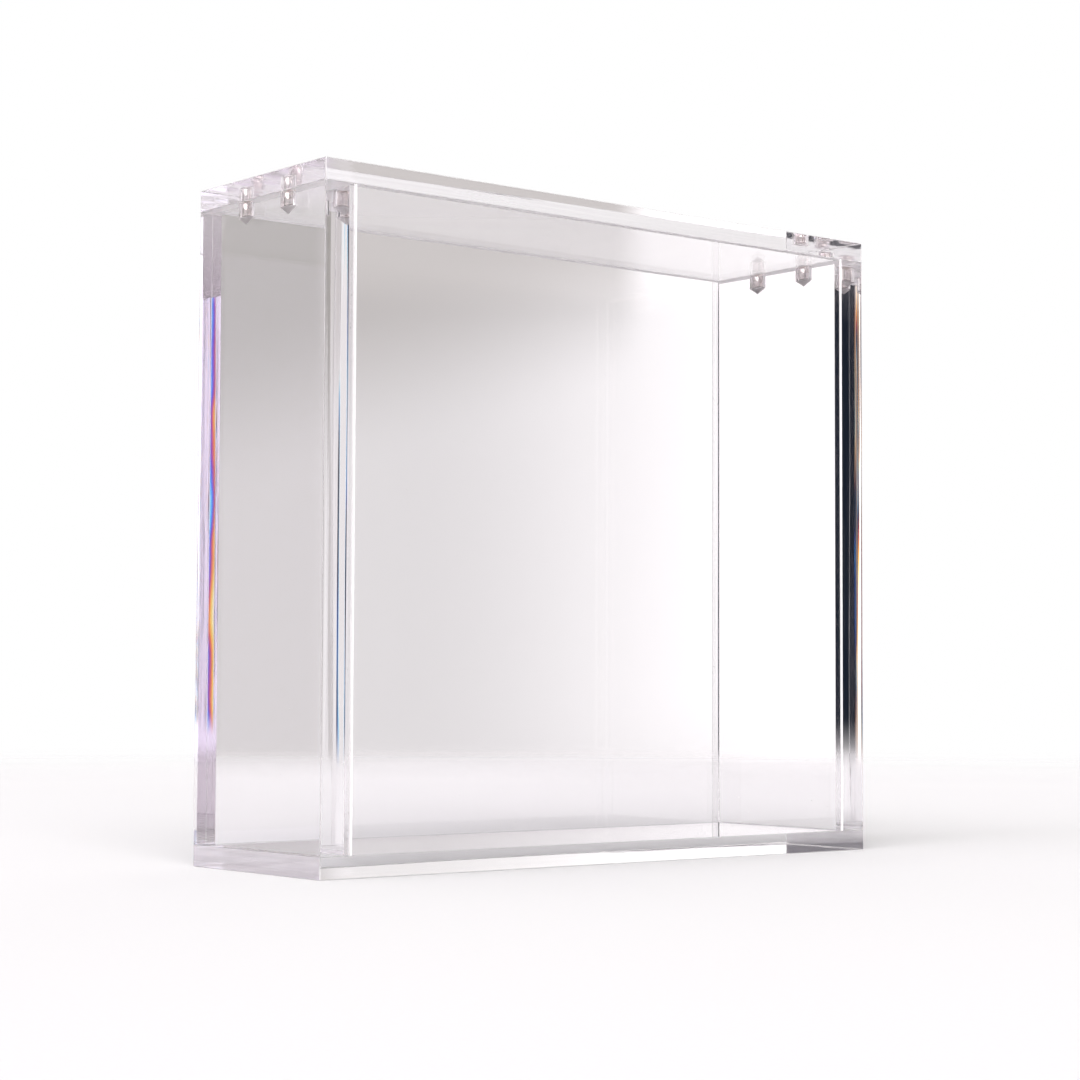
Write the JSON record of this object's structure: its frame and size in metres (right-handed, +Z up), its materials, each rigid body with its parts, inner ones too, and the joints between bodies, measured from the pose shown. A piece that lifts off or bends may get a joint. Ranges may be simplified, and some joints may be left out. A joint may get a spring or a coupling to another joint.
{
  "type": "pick display box",
  "caption": "Upright narrow box of clear acrylic sheet on a base plate, with a flat lift-off lid held on its two thick side walls by small disc magnets.",
  "frame": {"origin": "centre of the base plate's underside, on the surface the box stands on", "axes": "+X towards the right side wall seen from the front, +Y towards the back panel, +Z up through the lid"},
  "size_m": [0.1694, 0.052, 0.158],
  "materials": {
    "base_acrylic": "polished clear cast acrylic, 5 mm",
    "wall_acrylic": "polished clear cast acrylic, 8 mm, with matt drilled holes in the top edge",
    "panel_acrylic": "polished clear cast acrylic, 4 mm",
    "lid_acrylic": "polished clear cast acrylic, 5 mm, with matt drilled holes in the underside",
    "nickel": "bright nickel plate"
  },
  "bodies": {
    "case": {"base_plate": "base_acrylic", "left_wall": "wall_acrylic", "right_wall": "wall_acrylic", "front_panel": "panel_acrylic", "back_panel": "panel_acrylic", "wall_magnet_left_front": "nickel", "wall_magnet_left_back": "nickel", "wall_magnet_right_front": "nickel", "wall_magnet_right_back": "nickel"},
    "lid": {"lid": "lid_acrylic", "lid_magnet_left_front": "nickel", "lid_magnet_left_back": "nickel", "lid_magnet_right_front": "nickel", "lid_magnet_right_back": "nickel"}
  },
  "joints": [
    {"name": "lid_lift", "type": "slide", "parent": "case", "child": "lid", "axis": [0, 0, 1], "range_m": [0, 0.08]}
  ]
}
